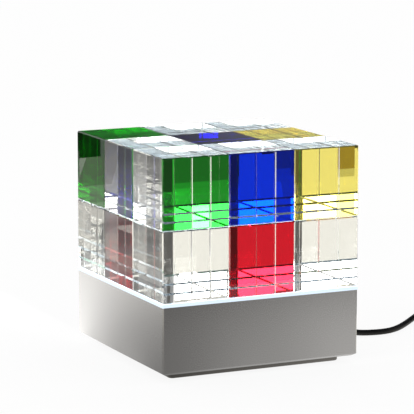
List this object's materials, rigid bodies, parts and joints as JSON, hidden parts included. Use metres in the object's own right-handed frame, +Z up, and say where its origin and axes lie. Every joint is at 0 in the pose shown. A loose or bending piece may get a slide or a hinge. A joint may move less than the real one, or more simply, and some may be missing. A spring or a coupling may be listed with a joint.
{
  "type": "cube table lamp",
  "caption": "table lamp: a block of clear and tinted glass cubes on a lit opal plate and a square satin aluminium base with a thin low-voltage cord",
  "frame": {"origin": "middle of the square that the lamp stands on, at the under side of its rubber pads", "axes": "+Z up, +X along the front face to the right, +Y from front to back"},
  "size_m": [0.2657, 0.12, 0.124],
  "materials": {
    "clear_glass": "polished optical glass",
    "green_glass": "polished glass, tinted through",
    "blue_glass": "polished glass, tinted through",
    "yellow_glass": "polished glass, tinted through",
    "red_glass": "polished glass, tinted through",
    "opal_acrylic": "satin opal, lit from below",
    "satin_aluminium": "fine satin, anodised",
    "foot_metal": "satin, anodised",
    "screw_steel": "zinc plated",
    "black_rubber": "matt",
    "white_board": "solder mask",
    "led_resin": "phosphor resin",
    "white_plastic": "matt reflector white",
    "brass": "turned",
    "green_board": "solder mask",
    "screening_can": "tinned",
    "black_plastic": "moulded, fine texture",
    "terminal_green": "moulded",
    "wire_red": "insulation",
    "cord_jacket": "soft PVC jacket, satin",
    "black_fabric": "hook and loop strap",
    "plug_nickel": "nickel plated"
  },
  "bodies": {
    "root": {"aluminium_housing": "satin_aluminium", "blue_cube_upper_middle_centre": "blue_glass", "board_standoffs": "brass", "bottom_cover": "satin_aluminium", "clear_cube_lower_back_centre": "clear_glass", "clear_cube_lower_back_left": "clear_glass", "clear_cube_lower_back_right": "clear_glass", "clear_cube_lower_front_centre": "clear_glass", "clear_cube_lower_front_left": "clear_glass", "clear_cube_lower_front_right": "clear_glass", "clear_cube_lower_middle_left": "clear_glass", "clear_cube_lower_middle_right": "clear_glass", "clear_cube_upper_back_centre": "clear_glass", "clear_cube_upper_back_right": "clear_glass", "clear_cube_upper_front_centre": "clear_glass", "clear_cube_upper_front_left": "clear_glass", "clear_cube_upper_front_right": "clear_glass", "clear_cube_upper_middle_left": "clear_glass", "coil_tie": "black_fabric", "dimmer_receiver": "screening_can", "driver_board": "green_board", "driver_board_screws": "screw_steel", "driver_chip": "black_plastic", "foot_plate": "foot_metal", "foot_screws": "screw_steel", "green_cube_upper_back_left": "green_glass", "heat_spreader": "satin_aluminium", "inner_lead": "cord_jacket", "input_terminal": "terminal_green", "led_board": "white_board", "led_board_screws": "screw_steel", "led_chips": "led_resin", "led_wires": "wire_red", "light_box": "white_plastic", "opal_diffuser_plate": "opal_acrylic", "output_terminal": "terminal_green", "plug_barrel": "plug_nickel", "plug_cord_end": "cord_jacket", "plug_grip": "black_plastic", "plug_insulator": "black_plastic", "power_cord": "cord_jacket", "power_cord_coil": "cord_jacket", "power_inductor": "black_plastic", "red_cube_lower_middle_centre": "red_glass", "rubber_pads": "black_rubber", "spreader_screws": "screw_steel", "storage_capacitor": "screening_can", "strain_relief": "black_rubber", "strain_relief_nut": "screening_can", "yellow_cube_upper_middle_right": "yellow_glass"}
  },
  "joints": []
}
